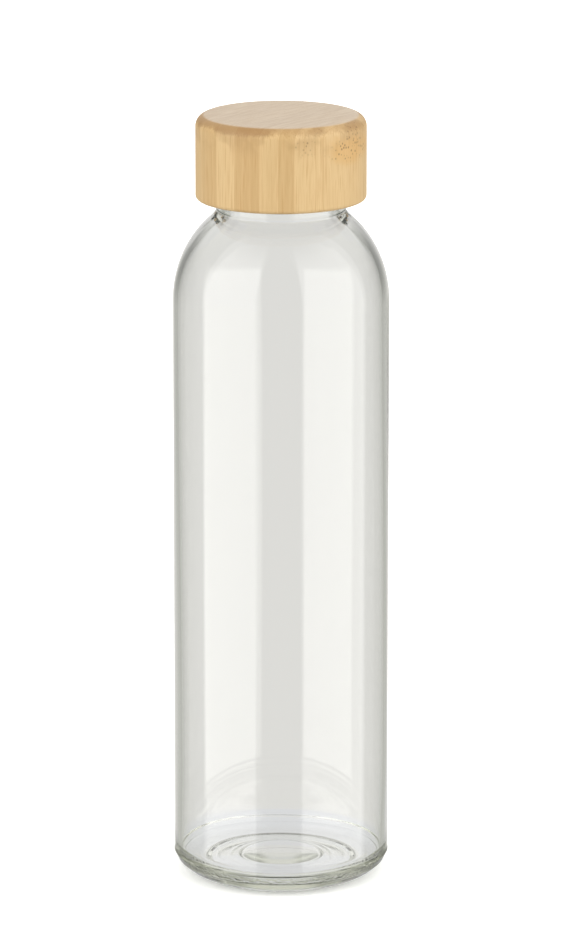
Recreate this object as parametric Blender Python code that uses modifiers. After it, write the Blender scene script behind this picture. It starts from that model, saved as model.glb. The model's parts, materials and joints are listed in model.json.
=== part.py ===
"""A 500 ml glass water bottle with a turned bamboo screw lid.

Four pieces: the glass bottle, the bamboo cap, the threaded plastic liner glued into the cap, and the silicone
seal ring held in the liner. The origin is the centre of the ring that the bottle stands on, and +Z is up the
bottle's axis. Lengths are in metres.
"""

import math

import bmesh
import bpy

MM = 0.001
QUARTER = math.pi / 2
TURN = 2 * math.pi

# How finely round shapes are divided: straight sides to a full turn, and how far an arc's chord may cut inside it.
SEGMENTS = 48
CHORD_ERROR = 0.05 * MM
# Edges sharper than this stay hard when a piece is shaded smooth.
HARD_EDGE = math.radians(40)

# The gap kept between pieces that are glued together, or that rest on each other.
GAP = 0.3 * MM

# Bottle body
BODY_RADIUS = 32.5 * MM
WALL = 2.0 * MM
SHOULDER_HEIGHT = 178.2 * MM
SHOULDER_RADIUS = 30.6 * MM
SHOULDER_RISE = 32.4 * MM
SHOULDER_SAG = 2.2 * MM

# Bottle base: a narrow foot ring round a domed underside, and a domed floor over both
FOOT_OUTER_RADIUS = 24.0 * MM
FOOT_INNER_RADIUS = 22.4 * MM
HEEL_HEIGHT = 6.8 * MM
HEEL_POWER = 1.7
HEEL_STEPS = 7
UNDERSIDE_RIM_RADIUS = 21.4 * MM
UNDERSIDE_RIM_HEIGHT = 1.0 * MM
UNDERSIDE_HEIGHT = 2.8 * MM
FLOOR_RIM_RADIUS = 26.0 * MM
FLOOR_RIM_HEIGHT = 5.0 * MM
FLOOR_HEIGHT = 5.6 * MM
CORNER_HEIGHT = 4.5 * MM
CORNER_START = math.radians(-88)

# Bottle neck and its right-hand thread
NECK_RADIUS = 19.3 * MM
BORE_RADIUS = 16.2 * MM
NECK_FILLET = 2.4 * MM
BORE_FILLET = 4.5 * MM
FILLET_STEPS = 6
BEAD_RADIUS = 20.3 * MM
BEAD_HEIGHT = 211.0 * MM
BEAD_HALF_WIDTH = 1.1 * MM
LIP_RADIUS = 18.9 * MM
LIP_HEIGHT = 225.4 * MM
LIP_ROUNDING = 1.1 * MM
THREAD_PITCH = 4.2 * MM
THREAD_TURNS = 1.5
THREAD_FADE = math.radians(40)
THREAD_END = 0.08
GLASS_THREAD_CENTRE = 19.15 * MM
GLASS_THREAD_THICKNESS = 1.35 * MM
GLASS_THREAD_START = 216.2 * MM

# Bamboo cap
CAP_RADIUS = 25.6 * MM
CAP_BOTTOM = 209.0 * MM
CAP_HEIGHT = 25.5 * MM
CAP_TOP_ROUNDING = 3.5 * MM
CAP_BOTTOM_ROUNDING = 1.2 * MM
CAP_TOP_THICKNESS = 5.0 * MM
CAP_BORE_RADIUS = 22.6 * MM
CAP_BORE_CHAMFER = 0.5 * MM

# Threaded liner, with heights above the cap's bottom edge
LINER_RADIUS = CAP_BORE_RADIUS - GAP
LINER_BORE_RADIUS = 20.9 * MM
LINER_BOTTOM = 0.8 * MM
LINER_TOP = CAP_HEIGHT - CAP_TOP_THICKNESS - GAP
LINER_CEILING = LINER_TOP - 1.4 * MM
LINER_CHAMFER = 0.6 * MM
GLUE_GROOVE_DEPTH = 0.4 * MM
GLUE_GROOVE_HALF_WIDTH = 0.9 * MM
GLUE_GROOVE_HEIGHTS = (13.5 * MM, 6.5 * MM)
LINER_THREAD_CENTRE = 21.0 * MM
LINER_THREAD_THICKNESS = 1.1 * MM
LINER_THREAD_START = GLASS_THREAD_START - THREAD_PITCH / 2 - CAP_BOTTOM
SEAL_COLLAR_OUTER = 15.2 * MM
SEAL_COLLAR_INNER = 14.2 * MM
SEAL_COLLAR_DEPTH = 1.7 * MM
SEAL_CATCH_DEPTH = 0.8 * MM
SEAL_CATCH_HALF_WIDTH = 0.35 * MM

# Seal ring, with heights above the cap's bottom edge
SEAL_OUTER_RADIUS = 20.4 * MM
SEAL_INNER_RADIUS = SEAL_COLLAR_OUTER + GAP
SEAL_TOP = LINER_CEILING - GAP
SEAL_BOTTOM = SEAL_TOP - 1.8 * MM
SEAL_ROUNDING = 0.4 * MM


def clear_scene():
    """Removes whatever the scene holds."""
    for obj in list(bpy.data.objects):
        bpy.data.objects.remove(obj)


def make_material(name, colour, roughness, transmission=0.0, ior=1.5):
    """A Principled material of one colour."""
    material = bpy.data.materials.new(name)
    material.use_nodes = True
    shader = material.node_tree.nodes["Principled BSDF"]
    shader.inputs["Base Color"].default_value = (*colour, 1.0)
    shader.inputs["Roughness"].default_value = roughness
    shader.inputs["Metallic"].default_value = 0.0
    shader.inputs["Transmission Weight"].default_value = transmission
    shader.inputs["IOR"].default_value = ior
    return material


def arc(centre, radius, start, end):
    """Points (r, z) of an arc between two angles, in radians from +r towards +z. Two radii (r, z) make it part of
    an ellipse."""
    across, up = radius if isinstance(radius, tuple) else (radius, radius)
    largest = max(abs(across), abs(up))
    step = 2 * math.acos(1 - CHORD_ERROR / largest)
    steps = max(2, math.ceil(abs(end - start) / step))
    angles = [start + (end - start) * i / steps for i in range(steps + 1)]
    return [(centre[0] + across * math.cos(a), centre[1] + up * math.sin(a)) for a in angles]


def dome(rim_radius, rim_height, top_height):
    """Points of a shallow spherical cap, from its rim in to the axis."""
    rise = top_height - rim_height
    sphere = (rim_radius**2 + rise**2) / (2 * rise)
    rim = math.acos(rim_radius / sphere)
    return arc((0.0, top_height - sphere), sphere, rim, QUARTER)[:-1] + [(0.0, top_height)]


def heel():
    """The curve from the straight wall down to the foot ring, a quarter of a superellipse."""
    power = 2 / HEEL_POWER
    width = BODY_RADIUS - FOOT_OUTER_RADIUS
    points = []
    for i in range(HEEL_STEPS + 1):
        angle = QUARTER * i / HEEL_STEPS
        across = max(0.0, math.cos(angle)) ** power
        down = math.sin(angle) ** power
        points.append((FOOT_OUTER_RADIUS + width * across, HEEL_HEIGHT * (1 - down)))
    return points


def shoulder(wall_radius, neck_radius, sag, fillet):
    """The shoulder from the straight wall up to the neck: part of an ellipse, blended into the upright neck. sag is
    how far its top hangs below an even wall."""
    centre_radius = BODY_RADIUS - SHOULDER_RADIUS
    across = wall_radius - centre_radius
    up = SHOULDER_RISE - (BODY_RADIUS - wall_radius) - sag
    meet = math.acos((neck_radius + fillet - centre_radius) / across)
    end = math.acos((neck_radius - fillet - centre_radius) / across)
    points = arc((centre_radius, SHOULDER_HEIGHT), (across, up), 0.0, meet)
    for i in range(1, FILLET_STEPS + 1):
        angle = meet + (end - meet) * i / FILLET_STEPS
        radius = centre_radius + across * math.cos(angle)
        blend = 1 - abs(radius - neck_radius) / fillet
        radius = max(radius, neck_radius) + blend**2 * fillet / 4
        points.append((radius, SHOULDER_HEIGHT + up * math.sin(angle)))
    return points


def bottle_outline():
    """The bottle's outline, from the middle of its floor up to the lip, and down the outside to the middle of its
    underside."""
    inner_radius = BODY_RADIUS - WALL
    corner_centre = (FLOOR_RIM_RADIUS, FLOOR_RIM_HEIGHT + CORNER_HEIGHT)
    corner_size = (inner_radius - FLOOR_RIM_RADIUS, CORNER_HEIGHT)
    inside = dome(FLOOR_RIM_RADIUS, FLOOR_RIM_HEIGHT, FLOOR_HEIGHT)[::-1]
    inside += arc(corner_centre, corner_size, CORNER_START, 0.0)
    inside += shoulder(inner_radius, BORE_RADIUS, SHOULDER_SAG, BORE_FILLET)
    lip_centre_height = LIP_HEIGHT - LIP_ROUNDING
    lip = arc((BORE_RADIUS + LIP_ROUNDING, lip_centre_height), LIP_ROUNDING, math.pi, QUARTER)
    lip += arc((LIP_RADIUS - LIP_ROUNDING, lip_centre_height), LIP_ROUNDING, QUARTER, 0.0)
    bead_size = (BEAD_RADIUS - NECK_RADIUS, BEAD_HALF_WIDTH)
    outside = [(NECK_RADIUS, LIP_HEIGHT - 2 * LIP_ROUNDING)]
    outside += arc((NECK_RADIUS, BEAD_HEIGHT), bead_size, QUARTER, -QUARTER)
    outside += shoulder(BODY_RADIUS, NECK_RADIUS, 0.0, NECK_FILLET)[::-1]
    outside += heel()
    outside.append((FOOT_INNER_RADIUS, 0.0))
    outside += dome(UNDERSIDE_RIM_RADIUS, UNDERSIDE_RIM_HEIGHT, UNDERSIDE_HEIGHT)
    return inside + lip + outside


def turned(name, outline, material, collection):
    """A solid of revolution about Z. The outline's points (r, z) run down its outer side, and it closes on itself
    when it doesn't start on the axis."""
    mesh = bpy.data.meshes.new(name + "_outline")
    edges = [(i, i + 1) for i in range(len(outline) - 1)]
    if outline[0][0] > 0.0:
        edges.append((len(outline) - 1, 0))
    mesh.from_pydata([(r, 0.0, z) for r, z in outline], edges, [])
    mesh.materials.append(material)
    obj = bpy.data.objects.new(name, mesh)
    collection.objects.link(obj)
    screw = obj.modifiers.new("turn", "SCREW")
    screw.axis = "Z"
    screw.steps = SEGMENTS
    screw.render_steps = SEGMENTS
    screw.use_merge_vertices = True
    screw.merge_threshold = 0.01 * MM
    return obj


def mesh_of(obj):
    """The mesh that an object's curve or modifiers make."""
    bpy.context.view_layer.update()
    evaluated = obj.evaluated_get(bpy.context.evaluated_depsgraph_get())
    return bpy.data.meshes.new_from_object(evaluated)


def thread_ridge(name, centre_radius, thickness, start_height, collection):
    """A round ridge along a right-handed helix, which fades into its wall at both ends."""
    length = THREAD_TURNS * TURN
    steps = round(THREAD_TURNS * SEGMENTS)
    curve = bpy.data.curves.new(name, "CURVE")
    curve.dimensions = "3D"
    curve.bevel_depth = thickness
    curve.bevel_resolution = 2
    curve.use_fill_caps = True
    spline = curve.splines.new("POLY")
    spline.points.add(steps)
    for i, point in enumerate(spline.points):
        along = length * i / steps
        angle = along + TURN / SEGMENTS / 2
        height = start_height + THREAD_PITCH * along / TURN
        point.co = (centre_radius * math.cos(angle), centre_radius * math.sin(angle), height, 1.0)
        nearest_end = min(along, length - along)
        swell = math.sin(QUARTER * min(1.0, nearest_end / THREAD_FADE))
        point.radius = THREAD_END + (1 - THREAD_END) * swell
    guide = bpy.data.objects.new(name + "_guide", curve)
    collection.objects.link(guide)
    mesh = mesh_of(guide)
    weld_caps(mesh)
    ridge = bpy.data.objects.new(name, mesh)
    ridge.matrix_world = guide.matrix_world
    collection.objects.link(ridge)
    bpy.data.objects.remove(guide)
    return ridge


def weld_caps(mesh):
    """Joins a tube's end caps to its sides."""
    work = bmesh.new()
    work.from_mesh(mesh)
    bmesh.ops.remove_doubles(work, verts=work.verts, dist=0.001 * MM)
    bmesh.ops.recalc_face_normals(work, faces=work.faces)
    work.to_mesh(mesh)
    work.free()


def finish(obj, ridge=None):
    """Turns the outline into its solid, with the thread's ridge joined to it, shaded smooth but for hard edges."""
    if ridge:
        union = obj.modifiers.new("thread", "BOOLEAN")
        union.operation = "UNION"
        union.solver = "EXACT"
        union.object = ridge
    solid = mesh_of(obj)
    solid.name = obj.name
    solid.shade_smooth()
    solid.set_sharp_from_angle(angle=HARD_EDGE)
    obj.modifiers.clear()
    obj.data = solid
    if ridge:
        bpy.data.objects.remove(ridge)
    return obj


def make_bottle(collection):
    """The glass bottle, one moulding with its thread."""
    glass = make_material("clear_glass", (0.93, 0.95, 0.92), 0.02, transmission=1.0, ior=1.52)
    bottle = turned("glass_bottle", bottle_outline(), glass, collection)
    ridge = thread_ridge(
        "glass_thread", GLASS_THREAD_CENTRE, GLASS_THREAD_THICKNESS, GLASS_THREAD_START, collection
    )
    return finish(bottle, ridge)


def make_cap(collection):
    """The bamboo cap, with heights above its own bottom edge."""
    bamboo = make_material("bamboo", (0.72, 0.51, 0.25), 0.5)
    top_centre = (CAP_RADIUS - CAP_TOP_ROUNDING, CAP_HEIGHT - CAP_TOP_ROUNDING)
    low_centre = (CAP_RADIUS - CAP_BOTTOM_ROUNDING, CAP_BOTTOM_ROUNDING)
    ceiling = CAP_HEIGHT - CAP_TOP_THICKNESS
    outline = [(0.0, CAP_HEIGHT)]
    outline += arc(top_centre, CAP_TOP_ROUNDING, QUARTER, 0.0)
    outline += arc(low_centre, CAP_BOTTOM_ROUNDING, 0.0, -QUARTER)
    outline += [
        (CAP_BORE_RADIUS + CAP_BORE_CHAMFER, 0.0),
        (CAP_BORE_RADIUS, CAP_BORE_CHAMFER),
        (CAP_BORE_RADIUS, ceiling),
        (0.0, ceiling),
    ]
    return finish(turned("bamboo_cap", outline, bamboo, collection))


def glue_groove(height):
    """A shallow groove round the liner that holds glue, from its upper edge down."""
    floor = LINER_RADIUS - GLUE_GROOVE_DEPTH
    floor_half = GLUE_GROOVE_HALF_WIDTH - GLUE_GROOVE_DEPTH
    return [
        (LINER_RADIUS, height + GLUE_GROOVE_HALF_WIDTH),
        (floor, height + floor_half),
        (floor, height - floor_half),
        (LINER_RADIUS, height - GLUE_GROOVE_HALF_WIDTH),
    ]


def make_liner(collection):
    """The threaded liner: a disc with a skirt, a collar and a catch that hold the seal ring, and the thread."""
    plastic = make_material("liner_plastic", (0.82, 0.82, 0.78), 0.35)
    outline = [
        (0.0, LINER_TOP),
        (LINER_RADIUS - LINER_CHAMFER, LINER_TOP),
        (LINER_RADIUS, LINER_TOP - LINER_CHAMFER),
    ]
    for height in GLUE_GROOVE_HEIGHTS:
        outline += glue_groove(height)
    outline += [
        (LINER_RADIUS, LINER_BOTTOM),
        (LINER_BORE_RADIUS + LINER_CHAMFER, LINER_BOTTOM),
        (LINER_BORE_RADIUS, LINER_BOTTOM + LINER_CHAMFER),
    ]
    catch_centre = (LINER_BORE_RADIUS, SEAL_BOTTOM - GAP - SEAL_CATCH_HALF_WIDTH)
    outline += arc(catch_centre, (-SEAL_CATCH_DEPTH, SEAL_CATCH_HALF_WIDTH), -QUARTER, QUARTER)
    collar_end = LINER_CEILING - SEAL_COLLAR_DEPTH
    outline += [
        (LINER_BORE_RADIUS, LINER_CEILING),
        (SEAL_COLLAR_OUTER, LINER_CEILING),
        (SEAL_COLLAR_OUTER, collar_end),
        (SEAL_COLLAR_INNER, collar_end),
        (SEAL_COLLAR_INNER, LINER_CEILING),
        (0.0, LINER_CEILING),
    ]
    liner = turned("thread_liner", outline, plastic, collection)
    ridge = thread_ridge(
        "liner_thread", LINER_THREAD_CENTRE, LINER_THREAD_THICKNESS, LINER_THREAD_START, collection
    )
    return finish(liner, ridge)


def make_seal(collection):
    """The silicone ring between the bottle's lip and the liner."""
    silicone = make_material("silicone", (0.88, 0.88, 0.86), 0.45)
    near = SEAL_INNER_RADIUS + SEAL_ROUNDING
    far = SEAL_OUTER_RADIUS - SEAL_ROUNDING
    low = SEAL_BOTTOM + SEAL_ROUNDING
    high = SEAL_TOP - SEAL_ROUNDING
    outline = arc((far, high), SEAL_ROUNDING, QUARTER, 0.0)
    outline += arc((far, low), SEAL_ROUNDING, 0.0, -QUARTER)
    outline += arc((near, low), SEAL_ROUNDING, -QUARTER, -2 * QUARTER)
    outline += arc((near, high), SEAL_ROUNDING, 2 * QUARTER, QUARTER)
    return finish(turned("seal_ring", outline, silicone, collection))


def main():
    clear_scene()
    parts = bpy.data.collections.new("glass_water_bottle")
    bpy.context.scene.collection.children.link(parts)
    make_bottle(parts)
    # The lid turns and rises along this empty's Z axis.
    lid_axis = bpy.data.objects.new("lid_axis", None)
    lid_axis.location = (0.0, 0.0, CAP_BOTTOM)
    parts.objects.link(lid_axis)
    for piece in (make_cap(parts), make_liner(parts), make_seal(parts)):
        piece.parent = lid_axis


main()
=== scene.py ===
"""The looks of a glass water bottle with a turned bamboo screw lid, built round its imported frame.

Each of the frame's four nodes gets a finer piece that stands for it: the glass with its thread, heel and
base, the bamboo cap, the threaded liner and the seal ring. Heights and radii start from the nodes' boxes,
and the thread's pitch from the lid's coupling. Lengths are in metres.
"""

import json
import math

import bpy
import numpy as np
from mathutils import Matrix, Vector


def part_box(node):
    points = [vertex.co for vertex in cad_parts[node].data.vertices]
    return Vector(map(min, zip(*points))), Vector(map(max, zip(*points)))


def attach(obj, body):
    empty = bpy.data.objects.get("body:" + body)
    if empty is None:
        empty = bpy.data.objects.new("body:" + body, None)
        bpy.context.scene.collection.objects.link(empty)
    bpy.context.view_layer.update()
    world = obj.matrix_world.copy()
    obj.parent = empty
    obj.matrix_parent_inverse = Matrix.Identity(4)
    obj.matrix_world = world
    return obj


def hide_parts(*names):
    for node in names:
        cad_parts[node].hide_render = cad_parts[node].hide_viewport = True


MM = 0.001
QUARTER = math.pi / 2
TURN = 2 * math.pi

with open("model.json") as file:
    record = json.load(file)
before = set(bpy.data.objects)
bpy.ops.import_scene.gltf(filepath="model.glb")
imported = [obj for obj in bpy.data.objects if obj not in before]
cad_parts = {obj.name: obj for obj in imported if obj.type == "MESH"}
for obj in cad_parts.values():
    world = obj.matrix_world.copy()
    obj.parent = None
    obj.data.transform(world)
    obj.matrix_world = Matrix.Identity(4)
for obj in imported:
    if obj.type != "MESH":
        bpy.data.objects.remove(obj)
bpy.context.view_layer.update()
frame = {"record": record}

# How finely shapes are divided: sides to a full turn, longest steps along outlines, and arcs' steps (rad)
GLASS_SIDES = 288
LID_SIDES = 240
SEAL_SIDES = 192
WALL_SPACING = 2.5 * MM
CAP_SPACING = 1.5 * MM
THREAD_SPACING = 0.3 * MM
ARC_STEP = math.radians(6)
CORNER_STEP = math.radians(3)
LIP_STEP = 0.2
SEAL_STEP = 0.3
LINER_STEP = 0.4

# Glass: wall and shoulder
WALL = 2.0 * MM
SHOULDER_RADIUS = 30.6 * MM
SHOULDER_RISE = 32.4 * MM
SHOULDER_BELOW_LIP = 47.2 * MM
SHOULDER_SAG = 1.3 * MM
SHOULDER_SWEEP = 0.86

# Glass: heel and foot ring, the hollow under the base, and the floor inside
FOOT_OUTER_RADIUS = 24.0 * MM
FOOT_INNER_RADIUS = 22.4 * MM
HEEL_HEIGHT = 6.8 * MM
HEEL_POWER = 1.7
WALL_ABOVE_HEEL = 2.0 * MM
SEAM_HEIGHT = 6.5 * MM
SEAM_DEPTH = 0.2 * MM
SEAM_HALF_WIDTH = 0.45 * MM
HEEL_LINE_HEIGHT = 4.0 * MM
HEEL_LINE_DEPTH = 0.18 * MM
UNDERSIDE_RADIUS = 21.4 * MM
UNDERSIDE_HEIGHT = 1.0 * MM
UNDERSIDE_RISE = 1.2 * MM
UNDERSIDE_DISC_RADIUS = 12.0 * MM
UNDERSIDE_DISC_STEP = 0.6 * MM
UNDERSIDE_RINGS = (19.5 * MM, 15.5 * MM)
UNDERSIDE_RING_HEIGHT = 0.07 * MM
UNDERSIDE_RING_HALF_WIDTH = 0.7 * MM
FLOOR_RADIUS = 26.0 * MM
FLOOR_HEIGHT = 5.0 * MM
FLOOR_LENS_RADIUS = 13.0 * MM
FLOOR_LENS_RISE = 1.8 * MM
CORNER_HEIGHT = 4.5 * MM
CORNER_START = math.radians(-85)

# Glass: neck, bore and lip
NECK_RADIUS = 19.3 * MM
BORE_RADIUS = 16.2 * MM
NECK_FILLET = 2.4 * MM
BORE_FILLET = 2.8 * MM
BEAD_BELOW_LIP = 15.9 * MM
BEAD_DEPTH = 0.9 * MM
BEAD_HALF_WIDTH = 1.6 * MM
LIP_RADIUS = 18.9 * MM
LIP_ROUNDING = 1.1 * MM

# The uneven inner wall of a blown bottle: each wave's number to a turn, slope up the axis, phase and share
WAVES = ((2, 11, 0.6, 1.0), (3, -17, 2.1, 0.7), (5, 23, 0.0, 0.5))
WAVE_DEPTH = 0.07 * MM
WAVE_START = 14.0 * MM
WAVE_END_BELOW_LIP = 30.0 * MM
WAVE_FADE = 20.0 * MM
FOLDS = ((11, 0, 0.4, 1.0), (17, 0, 1.9, 0.8), (29, 0, 0.7, 0.7))
FOLD_DEPTH = 0.03 * MM
FOLD_BELOW_LIP = 24.0 * MM
FOLD_HALF_HEIGHT = 9.0 * MM

# Glass: the tint in its thickness, and the stippling on the heel: from the axis, up, and from front to back
GLASS_TINT = (0.86, 0.88, 0.76, 1.0)
GLASS_DENSITY = 26.0
STIPPLE_CELLS = 900.0
STIPPLE_DEPTH = 0.4 * MM
STIPPLE_RADIUS = (30.0 * MM, 31.2 * MM)
STIPPLE_HEIGHT = (4.4 * MM, 6.1 * MM)
STIPPLE_HEIGHT_BLUR = 0.3 * MM
STIPPLE_FRONT = (-12.0 * MM, -4.0 * MM)

# Threads: the lead comes from the coupling, in radians a metre
PITCH = TURN / frame["record"]["behaviour"]["couplings"][0]["ratio"]
THREAD_TURNS = 1.5
THREAD_FADE = math.radians(40)
THREAD_OFFSET = math.radians(3.75)
GLASS_THREAD_BELOW_LIP = 9.2 * MM
GLASS_THREAD_DEPTH = 1.15 * MM
GLASS_THREAD_HALF_WIDTH = 1.4 * MM
LINER_THREAD_DEPTH = 0.95 * MM
LINER_THREAD_HALF_WIDTH = 1.2 * MM

# Cap, liner and seal
CAP_TOP_ROUNDING = 3.5 * MM
CAP_BOTTOM_ROUNDING = 1.2 * MM
CAP_TOP_THICKNESS = 5.0 * MM
CAP_BORE_RADIUS = 22.6 * MM
CAP_BORE_CHAMFER = 0.5 * MM
LINER_BORE_RADIUS = 20.9 * MM
LINER_DISC = 1.4 * MM
LINER_ROUNDING = 0.5 * MM
SEAL_COLLAR_OUTER = 15.2 * MM
SEAL_COLLAR_INNER = 14.2 * MM
SEAL_COLLAR_DEPTH = 1.7 * MM
SEAL_CATCH_DEPTH = 0.8 * MM
SEAL_CATCH_HALF_WIDTH = 0.35 * MM
SEAL_ROUNDING = 0.4 * MM
GAP = 0.3 * MM

# Bamboo: how far the strips are turned, and where each starts across them with how pale it is, from 0 to 1.
# The strips at the right are paler partly as painted light.
STRIP_ANGLE = math.radians(38)
STRIPS = (
    (-30.0 * MM, 0.5),
    (-18.0 * MM, 0.7),
    (-11.5 * MM, 0.50),
    (-4.7 * MM, 0.95),
    (2.5 * MM, 0.35),
    (10.1 * MM, 0.75),
    (15.2 * MM, 0.48),
    # Painted light: the right-hand strips are paler where the light falls stronger
    (18.6 * MM, 1.0),
    (23.6 * MM, 0.80),
)
STRIP_BLUR = 0.08 * MM
STRIP_SHIFT = 0.73
GLUE_BLUR = 0.16 * MM
FIBRE_SWAY = 0.8 * MM
WOOD_DEPTH = 0.06 * MM
PORE_CELLS = 950.0

# Bamboo's linear colours, and how much of each shows over the colours under it
WOOD_PALE = (0.79, 0.555, 0.28, 1.0)
WOOD_MID = (0.62, 0.395, 0.17, 1.0)
WOOD_DARK = (0.54, 0.28, 0.09, 1.0)
# WOOD_RIM also serves as painted shade on the top edge's rounding
WOOD_RIM = (0.38, 0.20, 0.075, 1.0)
# WOOD_END's pale grey-pink is partly painted sheen
WOOD_END = (0.73, 0.61, 0.49, 1.0)
WOOD_END_DARK = (0.62, 0.49, 0.37, 1.0)
WOOD_KNOT = (0.72, 0.40, 0.12, 1.0)
WOOD_PORE = (0.22, 0.10, 0.035, 1.0)
STREAK_SHARE = 0.42
GLUE_SHARE = 0.3
END_GRAIN_AND_SHEEN_SHARE = 0.85
RIM_AND_SHADE_SHARE = 0.62
STAIN_SHARE = 0.28
KNOT_SHARE = 0.45
PORE_SHARE = 0.7

# Bamboo's marks: the knot's place and half size to the right and up, on the front, and the heights between
# which the brown rim, partly painted shade, and the stain below it set in
KNOT = (20.0 * MM, 226.5 * MM)
KNOT_SIZE = (7.0 * MM, 5.0 * MM)
KNOT_FRONT = (-4.0 * MM, 0.0)
RIM_AND_SHADE_RISE = (226.0 * MM, 230.0 * MM)
STAIN_RISE = (224.5 * MM, 231.0 * MM)
STAIN_PORES = (-2.0 * MM, 4.0 * MM)

# Liner and seal: linear colours
LINER_DULL = (0.78, 0.78, 0.74, 1.0)
LINER_PALE = (0.85, 0.85, 0.82, 1.0)
SILICONE_DULL = (0.80, 0.80, 0.78, 1.0)
SILICONE_PALE = (0.88, 0.88, 0.86, 1.0)

# Studio: directions in degrees round from the camera, to its right, and up from the horizon
LEFT_SOFTBOX = (-92.0, -27.0)
RIGHT_SOFTBOX = (23.0, 102.0)
SOFTBOX_BLUR = 2.0
SOFTBOX_FOOT = (-27.0, -23.0)
SOFTBOX_TOP = (36.0, 76.0)
NEAR_WALL_END = (96.0, 126.0)
BACKDROP_EDGE = (156.0, 169.0)
BACKDROP_FOOT = (-18.2, -17.0)

# Studio: how bright each is. The far wall's parts add up, each from one level to another between two
# heights. The tints are those of the walls, of the backdrop and of its foot, for red, green and blue.
NEAR_WALL = 0.62
FAR_WALL = ((-18.0, 2.0, 0.50, 0.28), (8.0, 26.0, 0.0, 0.5), (-28.0, -50.0, 0.0, 0.25))
BACKDROP = 0.755
LEFT_LIGHT = 1.2
RIGHT_LIGHT = 1.15
TINTS = ((0.99, 0.998, 0.965), (1.0, 0.988, 0.975), (0.95, 0.985, 1.03))

# Studio floor: its size, how bright it looks, the shade that bent light finds under the bottle, and how far
# below the glass it lies, so that the two never touch
STAGE_RADIUS = 8.0
STAGE_SIDES = 96
STAGE_WHITE = 1.65
STAGE_SHADE = 0.9
STAGE_SHADE_BLUE = 0.98
STAGE_SHADE_RADIUS = (15.0 * MM, 45.0 * MM)
STAGE_GAP = 0.1 * MM

# Camera
CAMERA_DISTANCE = 1.831
CAMERA_AIM_HEIGHT = 0.115
CAMERA_ELEVATION = math.radians(14.133)
CAMERA_PITCH = math.radians(13.81)
CAMERA_LENS = 232.3
CAMERA_SHIFT = 0.0042


# ---------------------------------------------------------------- shapes


def arc(centre, radius, start, end, step=ARC_STEP):
    """Points (r, z) of an arc between two angles, in radians from +r towards +z. Two radii make it part of
    an ellipse."""
    across, up = radius if isinstance(radius, tuple) else (radius, radius)
    steps = max(2, math.ceil(abs(end - start) / step))
    angles = [start + (end - start) * i / steps for i in range(steps + 1)]
    return [(centre[0] + across * math.cos(a), centre[1] + up * math.sin(a)) for a in angles]


def rounded(offset, half_width):
    """How tall a rounded ridge of height one is, this far from its middle."""
    return math.exp(-2 * (offset / half_width) ** 2)


def underside():
    """Points of the hollow under the base, from the foot ring in to the axis: a shallow dome with two rings
    and a raised disc in its middle."""
    points = []
    steps = 90
    for i in range(steps + 1):
        radius = UNDERSIDE_RADIUS * (1 - i / steps)
        height = UNDERSIDE_HEIGHT + UNDERSIDE_RISE * (1 - (radius / UNDERSIDE_RADIUS) ** 2)
        for ring in UNDERSIDE_RINGS:
            height -= UNDERSIDE_RING_HEIGHT * rounded(radius - ring, UNDERSIDE_RING_HALF_WIDTH)
        edge = (UNDERSIDE_DISC_RADIUS - radius) / UNDERSIDE_RING_HALF_WIDTH
        height += UNDERSIDE_DISC_STEP * (0.5 + 0.5 * math.tanh(edge * 1.5))
        points.append((radius, height))
    return points


def floor_inside(inner_radius):
    """Points of the inside of the base, from the axis out: a raised middle, a flat floor, and the corner up
    to the wall."""
    points = []
    steps = 40
    for i in range(steps):
        radius = FLOOR_RADIUS * i / steps
        raised = max(0.0, 1 - (radius / FLOOR_LENS_RADIUS) ** 2)
        points.append((radius, FLOOR_HEIGHT + FLOOR_LENS_RISE * raised))
    size = (inner_radius - FLOOR_RADIUS, CORNER_HEIGHT)
    centre = (FLOOR_RADIUS, FLOOR_HEIGHT + CORNER_HEIGHT)
    return points + arc(centre, size, CORNER_START, 0.0, CORNER_STEP)


def dense(outline, spacing):
    """The outline with points added, so that no two neighbours are further apart than the spacing."""
    made = [outline[0]]
    for start, end in zip(outline, outline[1:]):
        length = math.dist(start, end)
        steps = max(1, math.ceil(length / spacing))
        for i in range(1, steps + 1):
            share = i / steps
            made.append(tuple(a + (b - a) * share for a, b in zip(start, end)))
    return made


def turned(name, outline, body, node, material, segments, relief=None, sharp=50):
    """A piece turned about Z that stands for a node. The outline's points (r, z) run down its outer side.
    relief says how far each point moves out from the axis, from arrays of its angle, row and height. Edges
    sharper than sharp, in degrees, stay hard."""
    radius, height = np.array(outline).T
    closed = radius[0] > 0
    rows = len(radius)
    angles = np.arange(segments) * TURN / segments
    angle, row = np.meshgrid(angles, np.arange(rows), indexing="ij")
    out = radius[row]
    if relief:
        out = out + np.where(out > 0, relief(angle, row, height[row]), 0)
    points = np.stack([out * np.cos(angle), out * np.sin(angle), height[row]], axis=-1).reshape(-1, 3)
    index = np.arange(segments * rows).reshape(segments, rows)
    for pole in (0, rows - 1):
        if radius[pole] == 0:
            index[:, pole] = index[0, pole]
    beside = np.roll(index, -1, axis=0)
    columns = range(rows if closed else rows - 1)
    faces = []
    for j in columns:
        k = (j + 1) % rows
        for corners in zip(index[:, j], index[:, k], beside[:, k], beside[:, j]):
            faces.append(list(dict.fromkeys(int(c) for c in corners)))
    mesh = bpy.data.meshes.new(name)
    used, place = np.unique(np.concatenate([np.array(f) for f in faces]), return_inverse=True)
    place = place.tolist()
    packed, at = [], 0
    for face in faces:
        packed.append(place[at : at + len(face)])
        at += len(face)
    mesh.from_pydata(points[used].tolist(), [], packed)
    mesh.shade_smooth()
    mesh.set_sharp_from_angle(angle=math.radians(sharp))
    mesh.materials.append(material)
    piece = bpy.data.objects.new(name, mesh)
    bpy.context.scene.collection.objects.link(piece)
    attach(piece, body)
    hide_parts(node)
    return piece


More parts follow.
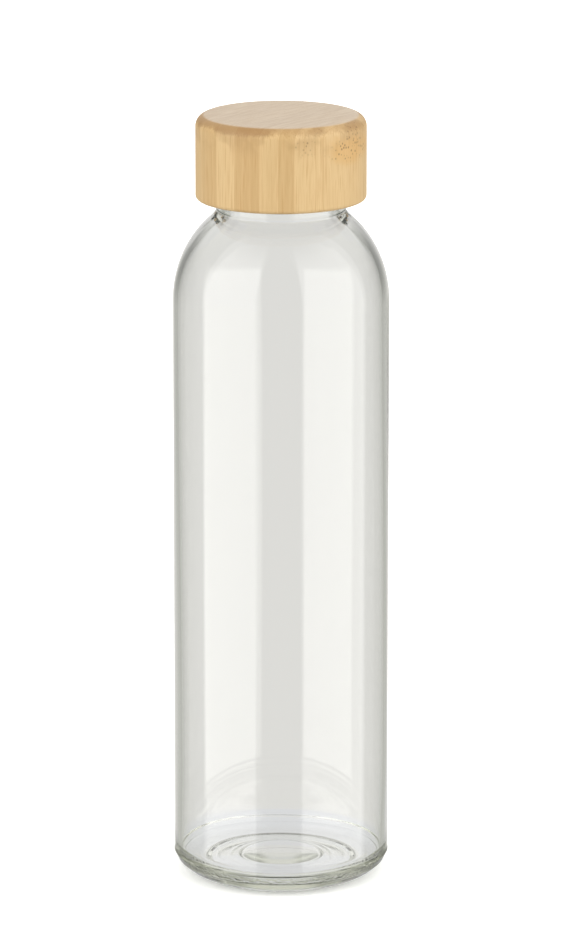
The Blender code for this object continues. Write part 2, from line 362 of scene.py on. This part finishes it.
def thread(angle, height, start, depth, half_width):
    """How far a right-hand thread stands out of its wall. It fades in and out at its ends."""
    length = THREAD_TURNS * TURN
    out = np.zeros_like(height)
    for turn in range(2):
        along = angle - THREAD_OFFSET + TURN * turn
        centre = start + PITCH * along / TURN
        end = np.clip(np.minimum(along, length - along) / THREAD_FADE, 1e-6, 1)
        swell = np.sin(QUARTER * end)
        across = (height - centre) / (half_width * swell)
        ridge = depth * swell * np.clip(1 - across**2, 0, 1)
        out = np.maximum(out, np.where((along >= 0) & (along <= length), ridge, 0))
    return out


def ripples(angle, height, waves):
    """The sum of waves round the axis."""
    total = 0.0
    for count, slope, phase, share in waves:
        total = total + share * np.sin(count * angle + slope * height + phase)
    return total


def shoulder(wall_radius, body_radius, neck_radius, base_height, sag, fillet):
    """The shoulder from the straight wall up to the neck: part of an ellipse, blended into the upright
    neck. sag is how far its top hangs below an even wall."""
    centre = body_radius - SHOULDER_RADIUS
    across = wall_radius - centre
    up = SHOULDER_RISE - (SHOULDER_RADIUS - across) - sag
    points = []
    steps = 120
    for i in range(steps + 1):
        angle = QUARTER * SHOULDER_SWEEP * i / steps
        rise = up * math.sin(angle)
        radius = centre + across * math.cos(angle)
        blend = max(0.0, fillet - abs(radius - neck_radius)) / fillet
        points.append((max(radius, neck_radius) + blend**2 * fillet / 4, base_height + rise))
        if radius < neck_radius - fillet:
            break
    return points


def heel(body_radius):
    """The curve from the straight wall down to the foot ring, a quarter of a superellipse with the fine
    raised lines that the joints of a mould leave."""
    power = 2 / HEEL_POWER
    width = body_radius - FOOT_OUTER_RADIUS
    points = [(body_radius, HEEL_HEIGHT + SEAM_HALF_WIDTH * i / 3) for i in range(6, 0, -1)]
    steps = 80
    for i in range(steps + 1):
        angle = QUARTER * i / steps
        across = max(0.0, math.cos(angle)) ** power
        down = math.sin(angle) ** power
        points.append((FOOT_OUTER_RADIUS + width * across, HEEL_HEIGHT * (1 - down)))
    lined = []
    for radius, height in points:
        for line, depth in ((SEAM_HEIGHT, SEAM_DEPTH), (HEEL_LINE_HEIGHT, HEEL_LINE_DEPTH)):
            radius += depth * rounded(height - line, SEAM_HALF_WIDTH)
        lined.append((radius, height))
    return lined


def make_bottle(material):
    """The glass: floor, inner wall, bore, lip, neck with bead and thread, shoulder, wall, heel and base."""
    low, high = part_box("glass_bottle")
    body_radius = high.x
    lip = high.z
    shoulder_height = lip - SHOULDER_BELOW_LIP
    inner_radius = body_radius - WALL
    inside = floor_inside(inner_radius)
    inside += shoulder(inner_radius, body_radius, BORE_RADIUS, shoulder_height, SHOULDER_SAG, BORE_FILLET)
    inside = dense(inside, WALL_SPACING)
    rim_height = lip - LIP_ROUNDING
    rim = arc((BORE_RADIUS + LIP_ROUNDING, rim_height), LIP_ROUNDING, math.pi, QUARTER, LIP_STEP)
    rim += arc((LIP_RADIUS - LIP_ROUNDING, rim_height), LIP_ROUNDING, QUARTER, 0.0, LIP_STEP)
    bead_size = (BEAD_DEPTH, BEAD_HALF_WIDTH)
    bead = arc((NECK_RADIUS, lip - BEAD_BELOW_LIP), bead_size, QUARTER, -QUARTER, LIP_STEP)
    neck = dense([(NECK_RADIUS, lip - 2 * LIP_ROUNDING)] + bead, THREAD_SPACING)
    wall = shoulder(body_radius, body_radius, NECK_RADIUS, shoulder_height, 0.0, NECK_FILLET)[::-1]
    wall = dense(wall + [(body_radius, HEEL_HEIGHT + WALL_ABOVE_HEEL)], WALL_SPACING)
    base = heel(body_radius) + [(FOOT_INNER_RADIUS, low.z)] + underside()
    outline = inside + rim + neck + wall + base
    first_outer = len(inside)
    neck_end = first_outer + len(rim) + len(neck)
    wave_end = lip - WAVE_END_BELOW_LIP
    fold_height = lip - FOLD_BELOW_LIP

    def relief(angle, row, height):
        fade = np.clip((height - WAVE_START) / WAVE_FADE, 0, 1)
        fade = fade * np.clip((wave_end - height) / WAVE_FADE, 0, 1)
        folded = np.clip(1 - np.abs(height - fold_height) / FOLD_HALF_HEIGHT, 0, 1)
        uneven = WAVE_DEPTH * ripples(angle, height, WAVES) * fade
        uneven = uneven + FOLD_DEPTH * ripples(angle, height, FOLDS) * folded
        start = lip - GLASS_THREAD_BELOW_LIP
        ridge = thread(angle, height, start, GLASS_THREAD_DEPTH, GLASS_THREAD_HALF_WIDTH)
        threaded = (row >= first_outer) & (row < neck_end)
        return np.where(row < first_outer, uneven, 0) + np.where(threaded, ridge, 0)

    return turned(
        "bottle_glass", outline, "bottle", "glass_bottle", material, GLASS_SIDES, relief, sharp=60
    )


def make_cap(material):
    """The bamboo cap, a thick cup with a well-rounded top edge."""
    low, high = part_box("bamboo_cap")
    radius = high.x
    top_centre = (radius - CAP_TOP_ROUNDING, high.z - CAP_TOP_ROUNDING)
    low_centre = (radius - CAP_BOTTOM_ROUNDING, low.z + CAP_BOTTOM_ROUNDING)
    ceiling = high.z - CAP_TOP_THICKNESS
    outline = [(0.0, high.z)]
    outline += arc(top_centre, CAP_TOP_ROUNDING, QUARTER, 0.0)
    outline += arc(low_centre, CAP_BOTTOM_ROUNDING, 0.0, -QUARTER)
    outline += [
        (CAP_BORE_RADIUS + CAP_BORE_CHAMFER, low.z),
        (CAP_BORE_RADIUS, low.z + CAP_BORE_CHAMFER),
        (CAP_BORE_RADIUS, ceiling),
        (0.0, ceiling),
    ]
    outline = dense(outline, CAP_SPACING)
    return turned("cap_bamboo", outline, "lid", "bamboo_cap", material, LID_SIDES)


def make_liner(material):
    """The threaded liner, with the collar and the catch that hold the seal ring."""
    low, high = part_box("thread_liner")
    seal_low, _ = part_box("seal_ring")
    radius = high.x
    ceiling = high.z - LINER_DISC
    bottom = low.z
    small = LINER_ROUNDING / 2
    top_centre = (radius - LINER_ROUNDING, high.z - LINER_ROUNDING)
    bore_centre = (LINER_BORE_RADIUS + LINER_ROUNDING, bottom + LINER_ROUNDING)
    outline = [(0.0, high.z)]
    outline += arc(top_centre, LINER_ROUNDING, QUARTER, 0.0, LINER_STEP)
    outline += arc((radius - small, bottom + small), small, 0.0, -QUARTER, LINER_STEP)
    outline += arc(bore_centre, LINER_ROUNDING, -QUARTER, -2 * QUARTER, LINER_STEP)
    catch_centre = (LINER_BORE_RADIUS, seal_low.z - GAP - SEAL_CATCH_HALF_WIDTH)
    catch_size = (-SEAL_CATCH_DEPTH, SEAL_CATCH_HALF_WIDTH)
    bore_start = len(outline) - 1
    bore = [outline.pop()] + arc(catch_centre, catch_size, -QUARTER, QUARTER, SEAL_STEP)
    outline += dense(bore, THREAD_SPACING)
    bore_end = len(outline)
    collar_end = ceiling - SEAL_COLLAR_DEPTH
    outline += [
        (LINER_BORE_RADIUS, ceiling),
        (SEAL_COLLAR_OUTER, ceiling),
        (SEAL_COLLAR_OUTER, collar_end),
        (SEAL_COLLAR_INNER, collar_end),
        (SEAL_COLLAR_INNER, ceiling),
        (0.0, ceiling),
    ]
    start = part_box("glass_bottle")[1].z - GLASS_THREAD_BELOW_LIP - PITCH / 2

    def relief(angle, row, height):
        ridge = thread(angle, height, start, LINER_THREAD_DEPTH, LINER_THREAD_HALF_WIDTH)
        return np.where((row >= bore_start) & (row < bore_end), -ridge, 0)

    return turned(
        "liner_plastic", outline, "lid", "thread_liner", material, LID_SIDES, relief, sharp=40
    )


def make_seal(material):
    """The silicone ring."""
    low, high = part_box("seal_ring")
    outer = high.x
    inner = SEAL_COLLAR_OUTER + GAP
    near, far = inner + SEAL_ROUNDING, outer - SEAL_ROUNDING
    bottom, top = low.z + SEAL_ROUNDING, high.z - SEAL_ROUNDING
    outline = arc((far, top), SEAL_ROUNDING, QUARTER, 0.0, SEAL_STEP)
    outline += arc((far, bottom), SEAL_ROUNDING, 0.0, -QUARTER, SEAL_STEP)
    outline += arc((near, bottom), SEAL_ROUNDING, -QUARTER, -2 * QUARTER, SEAL_STEP)
    outline += arc((near, top), SEAL_ROUNDING, 2 * QUARTER, QUARTER, SEAL_STEP)
    return turned("seal_silicone", outline, "seal", "seal_ring", material, SEAL_SIDES)


# ---------------------------------------------------------------- node trees


class Graph:
    """Adds nodes to a node tree, and wires them."""

    def __init__(self, tree):
        self.tree = tree
        tree.nodes.clear()

    def node(self, kind, inputs=None, **settings):
        """A node, with a value or another node's output for each input, by name or number."""
        made = self.tree.nodes.new("ShaderNode" + kind)
        for name, value in settings.items():
            setattr(made, name, value)
        for name, value in (inputs or {}).items():
            socket = made.inputs[name]
            if isinstance(value, Number):
                value = value.socket
            if isinstance(value, bpy.types.NodeSocket):
                self.tree.links.new(value, socket)
            else:
                socket.default_value = value
        return made

    def number(self, socket):
        return Number(self, socket)

    def math(self, operation, *values):
        made = self.node("Math", dict(enumerate(values)), operation=operation)
        return Number(self, made.outputs[0])

    def step(self, value, low, high, start=0.0, end=1.0):
        """Start below low, end above high, and a smooth step between."""
        inputs = {"Value": value, "From Min": low, "From Max": high, "To Min": start, "To Max": end}
        made = self.node("MapRange", inputs, interpolation_type="SMOOTHSTEP")
        return Number(self, made.outputs[0])

    def window(self, value, low, high, soft):
        """One between low and high, zero outside, with soft edges."""
        rise = self.step(value, low - soft, low + soft)
        return rise * self.step(value, high - soft, high + soft, 1.0, 0.0)

    def split(self, vector):
        made = self.node("SeparateXYZ", {0: vector})
        return [Number(self, output) for output in made.outputs]

    def join(self, x, y, z):
        return self.node("CombineXYZ", {0: x, 1: y, 2: z}).outputs[0]

    def noise(self, vector, scale, detail=2.0, rough=0.5):
        inputs = {"Vector": vector, "Scale": scale, "Detail": detail, "Roughness": rough}
        return Number(self, self.node("TexNoise", inputs).outputs["Fac"])

    def cells(self, vector, scale):
        """The distance from the middle of the nearest of many small cells."""
        made = self.node("TexVoronoi", {"Vector": vector, "Scale": scale})
        return Number(self, made.outputs["Distance"])

    def mix(self, share, a, b):
        """A colour between two."""
        made = self.node("Mix", {0: share, 6: a, 7: b}, data_type="RGBA")
        return made.outputs[2]


class Number:
    """A node's output that Python's arithmetic works on."""

    def __init__(self, graph, socket):
        self.graph = graph
        self.socket = socket

    def __add__(self, other):
        return self.graph.math("ADD", self, other)

    def __sub__(self, other):
        return self.graph.math("SUBTRACT", self, other)

    def __rsub__(self, other):
        return self.graph.math("SUBTRACT", other, self)

    def __mul__(self, other):
        return self.graph.math("MULTIPLY", self, other)

    def __truediv__(self, other):
        return self.graph.math("DIVIDE", self, other)

    __radd__ = __add__
    __rmul__ = __mul__


def new_material(name):
    """A material, and the graph to build it in."""
    material = bpy.data.materials.new(name)
    material.use_nodes = True
    return material, Graph(material.node_tree)


def glass_material():
    """Clear glass with a slight green in its thickness, and stippling on the front of its heel."""
    material, g = new_material("clear_glass")
    place = g.node("TexCoord").outputs["Object"]
    x, y, z = g.split(place)
    radius = g.math("SQRT", x * x + y * y)
    band = g.step(radius, *STIPPLE_RADIUS) * g.window(z, *STIPPLE_HEIGHT, STIPPLE_HEIGHT_BLUR)
    band = band * g.step(y, *STIPPLE_FRONT, 1.0, 0.0)
    stipple = g.cells(place, STIPPLE_CELLS) * band
    bump = g.node("Bump", {"Height": stipple, "Distance": STIPPLE_DEPTH, "Strength": 1.0})
    shader = g.node(
        "BsdfPrincipled",
        {
            "Base Color": (1.0, 1.0, 1.0, 1.0),
            "Roughness": 0.0,
            "IOR": 1.52,
            "Transmission Weight": 1.0,
            "Normal": bump.outputs[0],
        },
    )
    inside = g.node("VolumeAbsorption", {"Color": GLASS_TINT, "Density": GLASS_DENSITY})
    g.node("OutputMaterial", {"Surface": shader.outputs[0], "Volume": inside.outputs[0]})
    return material


def bamboo_material():
    """Glued bamboo strips with the fibres upright: streaks on the side, end grain on top with painted
    sheen, browner wood and painted shade round the top edge, and one knot with dark pores."""
    material, g = new_material("bamboo")
    place = g.node("TexCoord").outputs["Object"]
    front, depth, _ = g.split(place)
    turn = g.node("VectorRotate", {"Vector": place, "Angle": STRIP_ANGLE}, rotation_type="Z_AXIS")
    x, y, z = g.split(turn.outputs[0])
    sway = g.noise(g.join(x * 70, y * 70, z * 45), 1.0, 2.0) - 0.5
    across = x + sway * FIBRE_SWAY
    tone, glue, shift = STRIPS[0][1], 0.0, 0.0
    for (edge, end_tone), (_, start_tone) in zip(STRIPS[1:], STRIPS):
        beyond = g.step(across, edge - STRIP_BLUR, edge + STRIP_BLUR)
        tone = beyond * (end_tone - start_tone) + tone
        # A window this narrow peaks at a quarter.
        glue = g.window(across, edge, edge, GLUE_BLUR) * 4.0 + glue
        shift = beyond * STRIP_SHIFT + shift

    def fibres(scale, scale_up, detail, rough=0.5):
        """Noise drawn out along the fibres, which starts anew in each strip."""
        stretched = g.join(across * scale + shift, y * scale + shift, z * scale_up)
        return g.noise(stretched, 1.0, detail, rough)

    # The strips' wood
    fine = fibres(3600, 75, 3.0, 0.65)
    broad = fibres(500, 28, 3.0, 0.55)
    streak = g.step(fibres(2100, 65, 2.0), 0.60, 0.70)
    cloud = g.noise(turn.outputs[0], 110.0, 3.0)
    colour = g.mix(g.step(tone + broad * 0.7 - 0.35, 0.0, 1.0), WOOD_MID, WOOD_PALE)
    darker = g.step(fine, 0.42, 0.72) * g.step(broad, 0.35, 0.65, 0.22, 0.48)
    for share in (darker, streak * STREAK_SHARE, glue * GLUE_SHARE):
        colour = g.mix(share, colour, WOOD_DARK)

    # End grain on top, its paler grey-pink partly painted sheen
    normal_z = g.split(g.node("NewGeometry").outputs["Normal"])[2]
    top = g.step(normal_z, 0.90, 0.985)
    side = 1.0 - top
    rings = g.noise(g.join(across * 800, y * 90, 0.0), 1.0, 3.0, 0.6)
    end_grain_and_sheen = g.mix(g.step(rings, 0.3, 0.7), WOOD_END_DARK, WOOD_END)
    specks = g.step(g.noise(place, 1900.0, 2.0), 0.5, 0.8)
    end_grain_and_sheen = g.mix(specks * 0.25, end_grain_and_sheen, WOOD_RIM)
    colour = g.mix(top * END_GRAIN_AND_SHEEN_SHARE, colour, end_grain_and_sheen)

    # The ragged brown rim: browner end grain and painted shade where the rounding tilts away, stronger at
    # the left; and the stain below it
    ragged = normal_z + (cloud - 0.5) * 0.9 + (fine - 0.5) * 0.5
    rim = g.step(ragged, 0.20, 0.62) * g.step(z, *RIM_AND_SHADE_RISE) * side
    rim = rim * g.step(cloud + front * -9.0, 0.25, 0.60, 0.30, 1.0)
    colour = g.mix(rim * RIM_AND_SHADE_SHARE, colour, WOOD_RIM)
    stain = g.step(z, *STAIN_RISE) * g.step(cloud, 0.45, 0.60) * side
    colour = g.mix(stain * STAIN_SHARE, colour, WOOD_RIM)

    # The knot, and dark pores in it and in the stain's right half
    aside = (front - KNOT[0]) / KNOT_SIZE[0]
    above = (z - KNOT[1]) / KNOT_SIZE[1]
    far = g.math("SQRT", aside * aside + above * above) + (cloud - 0.5) * 1.3
    knot = g.step(far, 0.45, 1.15, 1.0, 0.0) * g.step(depth, *KNOT_FRONT, 1.0, 0.0)
    pore = g.step(g.cells(g.join(x, y, z * 0.8), PORE_CELLS), 0.16, 0.36, 1.0, 0.0)
    pore = pore * g.step(cloud + knot * 0.12, 0.52, 0.62)
    colour = g.mix(knot * KNOT_SHARE, colour, WOOD_KNOT)
    speckled = g.math("MAXIMUM", knot, stain * g.step(front, *STAIN_PORES) * 0.8)
    colour = g.mix(speckled * pore * PORE_SHARE, colour, WOOD_PORE)

    height = fine * 0.5 - glue * 0.3 - streak * 0.3
    bump = g.node("Bump", {"Height": height, "Distance": WOOD_DEPTH, "Strength": 0.5})
    shader = g.node(
        "BsdfPrincipled",
        {"Base Color": colour, "Roughness": fine * 0.12 + 0.36, "IOR": 1.45, "Normal": bump.outputs[0]},
    )
    g.node("OutputMaterial", {"Surface": shader.outputs[0]})
    return material


def liner_material():
    """Natural polypropylene, slightly see-through, with a fine moulded texture."""
    material, g = new_material("liner_plastic")
    place = g.node("TexCoord").outputs["Object"]
    grain = g.noise(place, 1800.0, 2.0)
    cloud = g.noise(place, 90.0, 3.0)
    colour = g.mix(g.step(cloud, 0.3, 0.7), LINER_DULL, LINER_PALE)
    bump = g.node("Bump", {"Height": grain, "Distance": 0.03 * MM, "Strength": 0.4})
    shader = g.node(
        "BsdfPrincipled",
        {
            "Base Color": colour,
            "Roughness": grain * 0.15 + 0.28,
            "Subsurface Weight": 0.35,
            "Subsurface Radius": (0.002, 0.002, 0.0018),
            "Subsurface Scale": 1.0,
            "Normal": bump.outputs[0],
        },
    )
    g.node("OutputMaterial", {"Surface": shader.outputs[0]})
    return material


def silicone_material():
    """Soft translucent silicone with a matte skin."""
    material, g = new_material("seal_silicone")
    place = g.node("TexCoord").outputs["Object"]
    skin = g.noise(place, 1200.0, 3.0)
    cloud = g.noise(place, 140.0)
    colour = g.mix(g.step(cloud, 0.3, 0.7), SILICONE_DULL, SILICONE_PALE)
    bump = g.node("Bump", {"Height": skin, "Distance": 0.02 * MM, "Strength": 0.5})
    shader = g.node(
        "BsdfPrincipled",
        {
            "Base Color": colour,
            "Roughness": skin * 0.2 + 0.4,
            "Subsurface Weight": 0.6,
            "Subsurface Radius": (0.003, 0.003, 0.0028),
            "Subsurface Scale": 1.0,
            "Normal": bump.outputs[0],
        },
    )
    g.node("OutputMaterial", {"Surface": shader.outputs[0]})
    return material


# ---------------------------------------------------------------- studio


def studio_light():
    """A studio all round, by direction: a grey wall on the camera's side with a tall softbox at the left
    and at the right, a darker wall beyond them, and a pale backdrop behind the bottle. The camera itself
    sees plain white."""
    world = bpy.data.worlds.new("studio")
    bpy.context.scene.world = world
    world.use_nodes = True
    g = Graph(world.node_tree)
    x, y, z = g.split(g.node("TexCoord").outputs["Generated"])
    side = g.math("ARCTAN2", x, y * -1.0) * math.degrees(1)
    rise = g.math("ARCSINE", z) * math.degrees(1)
    away = g.math("ABSOLUTE", side)
    far_wall = 0.0
    for start, end, start_level, end_level in FAR_WALL:
        far_wall = g.step(rise, start, end, start_level, end_level) + far_wall
    wall = g.step(away, *NEAR_WALL_END, NEAR_WALL, 0.0) + g.step(away, *NEAR_WALL_END) * far_wall
    backdrop = g.step(away, *BACKDROP_EDGE)
    foot = g.step(rise, *BACKDROP_FOOT, 1.0, 0.0)
    softbox = g.step(rise, *SOFTBOX_FOOT) * g.step(rise, *SOFTBOX_TOP, 1.0, 0.0)
    left = g.window(side, *LEFT_SOFTBOX, SOFTBOX_BLUR) * softbox * LEFT_LIGHT
    right = g.window(side, *RIGHT_SOFTBOX, SOFTBOX_BLUR) * softbox * RIGHT_LIGHT
    shades = []
    for wall_tint, backdrop_tint, foot_tint in TINTS:
        panel = (foot * (foot_tint - backdrop_tint) + backdrop_tint) * BACKDROP
        shades.append(wall * wall_tint * (1.0 - backdrop) + backdrop * panel + left + right)
    path = g.node("LightPath")
    camera = g.number(path.outputs["Is Camera Ray"])
    light = g.mix(camera, g.node("CombineColor", dict(enumerate(shades))).outputs[0], (1.0, 1.0, 1.0, 1.0))
    back = g.node("Background", {"Color": light, "Strength": 1.0})
    g.node("OutputWorld", {"Surface": back.outputs[0]})


def studio_floor():
    """A pale floor. Light that the glass bends or mirrors passes through it to the studio behind, a little
    darker right under the bottle."""
    bpy.ops.mesh.primitive_circle_add(vertices=STAGE_SIDES, radius=STAGE_RADIUS, fill_type="NGON")
    floor = bpy.context.object
    floor.name = "studio_floor"
    floor.location.z = -STAGE_GAP
    material, g = new_material("floor_white")
    x, y, _ = g.split(g.node("TexCoord").outputs["Object"])
    radius = g.math("SQRT", x * x + y * y)
    shade = g.step(radius, *STAGE_SHADE_RADIUS, STAGE_SHADE, 1.0)
    tint = g.node("CombineColor", {0: shade, 1: shade, 2: shade * STAGE_SHADE_BLUE}).outputs[0]
    through = g.node("BsdfTransparent", {"Color": tint})
    path = g.node("LightPath")
    seen = g.number(path.outputs["Is Camera Ray"])
    solid = g.math("MAXIMUM", seen, path.outputs["Is Diffuse Ray"])
    solid = g.math("MAXIMUM", solid, path.outputs["Is Shadow Ray"])
    colour = g.mix(seen, (0.8, 0.8, 0.8, 1.0), (STAGE_WHITE, STAGE_WHITE, STAGE_WHITE, 1.0))
    matte = g.node("BsdfDiffuse", {"Color": colour})
    shader = g.node("MixShader", {0: solid, 1: through.outputs[0], 2: matte.outputs[0]})
    g.node("OutputMaterial", {"Surface": shader.outputs[0]})
    floor.data.materials.append(material)


def studio_camera():
    """The photograph's view: slightly from above, far away."""
    camera = bpy.data.cameras.new("camera")
    camera.lens = CAMERA_LENS
    camera.sensor_width = 36.0
    camera.shift_x = CAMERA_SHIFT
    camera.clip_start = 0.05
    camera.clip_end = 50.0
    obj = bpy.data.objects.new("camera", camera)
    bpy.context.scene.collection.objects.link(obj)
    back = CAMERA_DISTANCE * math.cos(CAMERA_ELEVATION)
    up = CAMERA_AIM_HEIGHT + CAMERA_DISTANCE * math.sin(CAMERA_ELEVATION)
    obj.location = (0.0, -back, up)
    obj.rotation_euler = (QUARTER - CAMERA_PITCH, 0.0, 0.0)
    bpy.context.scene.camera = obj


make_bottle(glass_material())
make_cap(bamboo_material())
make_liner(liner_material())
make_seal(silicone_material())
studio_floor()
studio_light()
studio_camera()

scene = bpy.context.scene
scene.view_settings.view_transform = "Standard"
scene.cycles.max_bounces = 24
scene.cycles.transmission_bounces = 20
scene.cycles.glossy_bounces = 12
scene.cycles.transparent_max_bounces = 12
